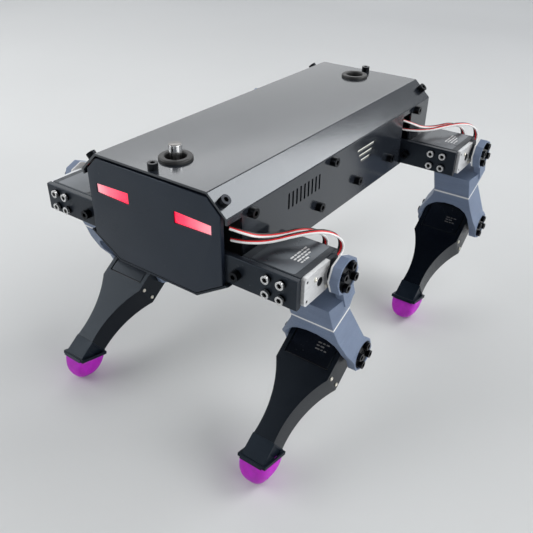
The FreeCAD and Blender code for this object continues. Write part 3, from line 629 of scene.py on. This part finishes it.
def lathe(work, place, profile, sides=24):
    """Turns a (radius, height) profile about its frame's Z."""
    rings = []
    for radius, height in profile:
        ring = []
        for i in range(sides if radius else 1):
            angle = math.tau * i / sides
            point = Vector((radius * math.cos(angle), radius * math.sin(angle), height))
            ring.append(work.verts.new(place @ point))
        rings.append(ring)
    for lower, upper in zip(rings, rings[1:]):
        for i in range(sides):
            j = (i + 1) % sides
            if len(lower) == 1:
                work.faces.new((lower[0], upper[j], upper[i]))
            elif len(upper) == 1:
                work.faces.new((lower[i], lower[j], upper[0]))
            else:
                work.faces.new((lower[i], lower[j], upper[j], upper[i]))


def facing(point, sign):
    """Frame standing on a point, with Z along +X or -X."""
    z = Vector((sign, 0, 0))
    x = Vector((0, 0, 1)).cross(z)
    turn = Matrix((x, z.cross(x), z)).transposed().to_4x4()
    return Matrix.Translation(Vector(point)) @ turn


# Shares of the head's radius and height.
SCREW_PROFILE = ((0, 0), (1, 0), (1, 0.45), (0.86, 0.85), (0.66, 1), (0.42, 1), (0.38, 0.4), (0, 0.35))
SCREW_SIDES = 18

# Head radius and height of each kind.
COVER_SCREW = (0.00095, 0.0007)
PLATE_SCREW = (0.0015, 0.0010)
HORN_SCREW = (0.0031, 0.0016)
SIDE_SCREW = (0.0016, 0.0009)


def pan_screw(work, place, radius, tall):
    """Low domed screw head with a round well."""
    lathe(work, place, [(radius * out, tall * up) for out, up in SCREW_PROFILE], SCREW_SIDES)


TOE_HALF_X = 0.0112
TOE_HALF_Y = 0.0121
TOE_AHEAD = 0.0022
TOE_TALL = 0.0186
TOE_TRIES = 6
TOE_SIDES = 48
TOE_ROUND = 2.7
TOE_LEVELS = (0.0, 0.10, 0.22, 0.36, 0.50, 0.63, 0.75, 0.85, 0.92, 0.97, 0.992)


def toe_points(height):
    """Rings of a squarish dome that rounds off downwards, in the rim's frame, and its tip."""
    rings = []
    for level in TOE_LEVELS:
        scale = (1 - level ** TOE_ROUND) ** (1 / TOE_ROUND)
        squareness = 6.0 - 3.6 * level
        ring = []
        for i in range(TOE_SIDES):
            angle = math.tau * i / TOE_SIDES
            c = math.cos(angle)
            s = math.sin(angle)
            reach = (abs(c) ** squareness + abs(s) ** squareness) ** (-1 / squareness)
            x = TOE_HALF_X * scale * reach * c
            y = TOE_HALF_Y * scale * reach * s - TOE_AHEAD * level
            ring.append(Vector((x, y, -height * level)))
        rings.append(ring)
    return rings, Vector((0, -TOE_AHEAD, -height))


def build_toe(name, place, node, body):
    """Rubber dome in place of the CAD foot pad, made as tall as it takes to reach the pad's lowest point."""
    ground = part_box(node)[0].z
    height = TOE_TALL
    for _ in range(TOE_TRIES):
        rings, tip = toe_points(height)
        lowest = min((place @ point).z for ring in rings for point in ring + [tip])
        height += (lowest - ground) / math.cos(KNEE_PITCH + RIM_PITCH)

    def fill(work):
        made = [[work.verts.new(place @ point) for point in ring] for ring in rings]
        end = work.verts.new(place @ tip)
        work.faces.new(made[0])
        for upper, lower in zip(made, made[1:]):
            for i in range(TOE_SIDES):
                j = (i + 1) % TOE_SIDES
                work.faces.new((upper[i], upper[j], lower[j], lower[i]))
        for i in range(TOE_SIDES):
            work.faces.new((made[-1][i], made[-1][(i + 1) % TOE_SIDES], end))

    piece = new_piece(name, fill, "rubber", body)
    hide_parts(node)


# Lengths of the marks in each row of a label, the gaps between them and the rows' pitch, in mm.
SERVO_MARKS = ((3.4, 2.2, 4.0, 1.8, 3.2), (2.4, 3.8, 2.0, 3.0, 2.6), (4.0, 2.6, 3.0, 2.2), (2.2, 1.4, 3.2))
KNEE_MARKS = ((3.0, 2.0, 2.6), (2.2, 3.0), (3.4, 1.6, 2.2))
SERVO_MARK_GAP = 0.6
KNEE_MARK_GAP = 0.8
ROW_PITCH = 2.4

SERVO_MARK_WIDE = 0.0012
SERVO_MARK_CORNER = 0.0004
KNEE_MARK_WIDE = 0.001
KNEE_MARK_CORNER = 0.0003
MARK_THICK = 0.00005


def mark_places(rows, gap):
    """The row number, place of the middle along its row, and length of each mark, in mm."""
    for row, spans in enumerate(rows):
        along = 0.0
        for span in spans:
            yield row, along + span / 2, span
            along += span + gap


LABEL_PLACE = (0.0855, 0.0275, 0.161)
LABEL_WIDE = 0.030
LABEL_LONG = 0.0385
LABEL_THICK = 0.00012
LABEL_CORNER = 0.0015
# Where the marks start on the label, as (out, back), in mm.
LABEL_MARKS = (4.0, -6.5)


def build_servo_label(leg, side, shift):
    """Satin label on the servo's top. The left servos' labels have rows of short pale marks."""
    out, back, height = LABEL_PLACE
    place = Matrix.Translation(Vector((out * side, front_y + shift + back, height)))
    new_piece(leg + "servo_label",
              lambda work: slab(work, place, LABEL_WIDE, LABEL_LONG, LABEL_THICK, LABEL_CORNER), "label",
              "chassis", smooth=False)

    def marks(work):
        first_row, start = LABEL_MARKS
        for row, middle, span in mark_places(SERVO_MARKS, SERVO_MARK_GAP):
            x = (first_row + row * ROW_PITCH) * side * MM
            spot = place @ Matrix.Translation(Vector((x, (start + middle) * MM, LABEL_THICK)))
            slab(work, spot, SERVO_MARK_WIDE, span * MM, MARK_THICK, SERVO_MARK_CORNER)

    if side > 0:
        new_piece(leg + "servo_label_marks", marks, "print_marks", "chassis", smooth=False)


# Places on the servo's outer face, as (back, up from the shaft), and how far out each kind sits.
COVER_SCREWS = ((0.0105, -0.0065), (0.0105, 0.0065), (0.0405, -0.0065), (0.0405, 0.0065))
COVER_SCREW_OUT = 0.1072
PLATE_SCREWS = ((0.0190, 0.0040), (0.0322, -0.0068))
PLATE_SCREW_OUT = 0.1078
EYE_BACK = 0.024
EYE_OUT = 0.1076
EYE_PROFILE = ((0, 0), (0.0026, 0), (0.0026, 0.0005), (0.0021, 0.0006), (0, 0.0005))


def build_plate_screws(leg, side, shift):
    """Black corner screws on the servo's outer face, its dark eye, and two pale screws."""
    def spot(out, back, up):
        return facing((out * side, front_y + shift + back, hip_height + up), side)

    def black(work):
        for back, up in COVER_SCREWS:
            pan_screw(work, spot(COVER_SCREW_OUT, back, up), *COVER_SCREW)
        lathe(work, spot(EYE_OUT, EYE_BACK, 0), EYE_PROFILE)

    def bright(work):
        for back, up in PLATE_SCREWS:
            pan_screw(work, spot(PLATE_SCREW_OUT, back, up), *PLATE_SCREW)

    new_piece(leg + "cover_screws", black, "black_screw", "chassis")
    new_piece(leg + "plate_screws", bright, "pale_screw", "chassis")


# The discs' wells in the link's frame, as (1 for the outer face or -1 for the inner, out, up).
HORN_WELLS = ((1, 0.0284, 0.0), (1, 0.0289, -0.088), (-1, 0.0239, -0.088))


def build_horn_centres(leg, side, link):
    """Domed centre screws in the wells of the horn discs."""
    def fill(work):
        for sign, out, up in HORN_WELLS:
            point = link @ Vector((out * side * sign, 0, up))
            pan_screw(work, facing(point, side * sign), *HORN_SCREW)

    new_piece(leg + "horn_centres", fill, "black_screw", leg + "upper_link")


# The middle of the leg's window, in a frame that stands on it.
WINDOW_PLACE = (0, -0.00765, 0.01)
WINDOW_WIDE = 0.0337
WINDOW_LONG = 0.0282
WINDOW_THICK = 0.0012
WINDOW_CORNER = 0.001
# Where the marks start on the cover, as (sideways, up), in mm.
WINDOW_MARKS = (2, 1)


def build_knee_label(leg, shank):
    """Glossy cover, nearly flush in the leg's window, with faint marks."""
    turn = shank @ Matrix.Rotation(math.radians(90), 4, "X")
    place = turn @ Matrix.Translation(Vector(WINDOW_PLACE))
    new_piece(leg + "knee_label",
              lambda work: slab(work, place, WINDOW_WIDE, WINDOW_LONG, WINDOW_THICK, WINDOW_CORNER),
              "dark_label", leg + "lower_leg", smooth=False)

    def marks(work):
        start, first_row = WINDOW_MARKS
        for row, middle, span in mark_places(KNEE_MARKS, KNEE_MARK_GAP):
            y = (first_row - row * ROW_PITCH) * MM
            spot = place @ Matrix.Translation(Vector(((start + middle) * MM, y, WINDOW_THICK)))
            slab(work, spot, span * MM, KNEE_MARK_WIDE, MARK_THICK, KNEE_MARK_CORNER)

    new_piece(leg + "knee_label_marks", marks, "dim_marks", leg + "lower_leg", smooth=False)


SIDE_SCREW_OUT = 0.0209
SIDE_SCREW_BACK = 0.0065
SIDE_SCREW_UP = -0.0255


def build_side_screws(leg, shank):
    """Small pale screws through the leg's sides into the knee servo."""
    def fill(work):
        for sign in (1, -1):
            for back in (SIDE_SCREW_BACK, -SIDE_SCREW_BACK):
                point = shank @ Vector((SIDE_SCREW_OUT * sign, back, SIDE_SCREW_UP))
                pan_screw(work, facing(point, sign), *SIDE_SCREW)

    new_piece(leg + "side_screws", fill, "pale_screw", leg + "lower_leg")


for end, shift in ENDS.items():
    for mark, side in SIDES.items():
        leg = "%s_%s_" % (end, mark)
        hip = Vector(joints[leg + "hip"]["pos_m"])
        knee = Vector(joints[leg + "knee"]["pos_m"])
        link = Matrix.Translation(hip) @ Matrix.Rotation(HIP_PITCH, 4, "X")
        shank = Matrix.Translation(knee) @ Matrix.Rotation(KNEE_PITCH, 4, "X")
        rim = shank @ Matrix.Translation(RIM_PLACE) @ Matrix.Rotation(RIM_PITCH, 4, "X")
        build_toe(leg + "rubber_toe", rim, leg + "foot_pad", leg + "lower_leg")
        build_servo_label(leg, side, shift)
        build_plate_screws(leg, side, shift)
        build_horn_centres(leg, side, link)
        build_knee_label(leg, shank)
        build_side_screws(leg, shank)


# ---------------------------------------------------------------- stage and light

# Half the floor's width, and where its painted shade starts and stops along Y.
FLOOR_HALF = 6
FLOOR_SHADE_ENDS = (0.15, 1.3)


def make_floor():
    """Pale sweep: a wide floor with a faint cloudiness, and painted shade that makes it greyer far behind the
    robot.
    """
    look = Look("studio_floor", Specular_IOR_Level=0.3)
    clouds = look.noise(1.6, 4, 0.5)
    near = look.ramp(clouds, (0.3, (0.605, 0.615, 0.615)), (0.7, (0.645, 0.655, 0.655)))
    far = look.ramp(clouds, (0.3, (0.41, 0.42, 0.43)), (0.7, (0.46, 0.47, 0.48)))
    # Painted shade: the floor greys with distance behind the robot.
    away = look.span(look.axis("Y"), *FLOOR_SHADE_ENDS, 0.0, 1.0)
    look.feed("Base Color", look.blend(away, near, far))
    look.feed("Roughness", look.span(clouds, 0.3, 0.7, 0.5, 0.65))
    look.bump((look.noise(30, 3), 0.0002))
    mesh = bpy.data.meshes.new("studio_floor")
    work = bmesh.new()
    bmesh.ops.create_grid(work, x_segments=2, y_segments=2, size=FLOOR_HALF)
    work.to_mesh(mesh)
    work.free()
    mesh.materials.append(look.material)
    floor = bpy.data.objects.new("studio_floor", mesh)
    scene.collection.objects.link(floor)


# Name, place, what it points at, width, height and radiance.
SOFTBOXES = (
    ("back_left", (-1.5, 1.6, 0.72), (-0.6, 0, 0.1), 3.2, 1.0, 0.6),
    ("back_high", (-1.6, 1.5, 1.75), (-0.5, 0, 0.1), 3.2, 1.2, 1.8),
    ("back_right", (1.35, 1.5, 1.65), (0.1, 0, 0.1), 1.5, 1.2, 6.0),
    ("overhead", (0.6, 0.4, 1.9), (0, 0, 0.1), 1.4, 1.4, 0.9),
    ("front_left", (-1.25, -0.9, 0.98), (0, -0.1, 0.05), 1.6, 0.6, 5.0),
    ("right", (1.7, -0.1, 0.55), (0, 0, 0.1), 1.4, 0.8, 3.2),
)


def add_softbox(name, place, target, wide, tall, radiance):
    """Rectangular light, hidden from the camera, whose power follows from its size and radiance."""
    data = bpy.data.lights.new(name, "AREA")
    data.shape = "RECTANGLE"
    data.size = wide
    data.size_y = tall
    data.energy = radiance * math.pi * wide * tall
    lamp = bpy.data.objects.new(name, data)
    scene.collection.objects.link(lamp)
    away = Vector(target) - Vector(place)
    lamp.matrix_world = Matrix.Translation(Vector(place)) @ away.to_track_quat("-Z", "Y").to_matrix().to_4x4()
    lamp.visible_camera = False


def make_world():
    """Studio air: pale round the horizon, dim overhead."""
    world = bpy.data.worlds.new("studio")
    world.use_nodes = True
    tree = world.node_tree
    place = tree.nodes.new("ShaderNodeTexCoord")
    split = tree.nodes.new("ShaderNodeSeparateXYZ")
    fade = tree.nodes.new("ShaderNodeValToRGB")
    tree.links.new(place.outputs["Generated"], split.inputs["Vector"])
    tree.links.new(split.outputs["Z"], fade.inputs["Fac"])
    stops = ((0.0, (0.60, 0.62, 0.63)), (0.45, (0.52, 0.54, 0.56)), (0.75, (0.07, 0.075, 0.085)))
    elements = fade.color_ramp.elements
    elements.new(0.5)
    for element, (position, colour) in zip(elements, stops):
        element.position = position
        element.color = (*colour, 1)
    tree.links.new(fade.outputs["Color"], tree.nodes["Background"].inputs["Color"])
    scene.world = world


make_floor()
make_world()
for softbox in SOFTBOXES:
    add_softbox(*softbox)
scene.view_settings.view_transform = "Standard"
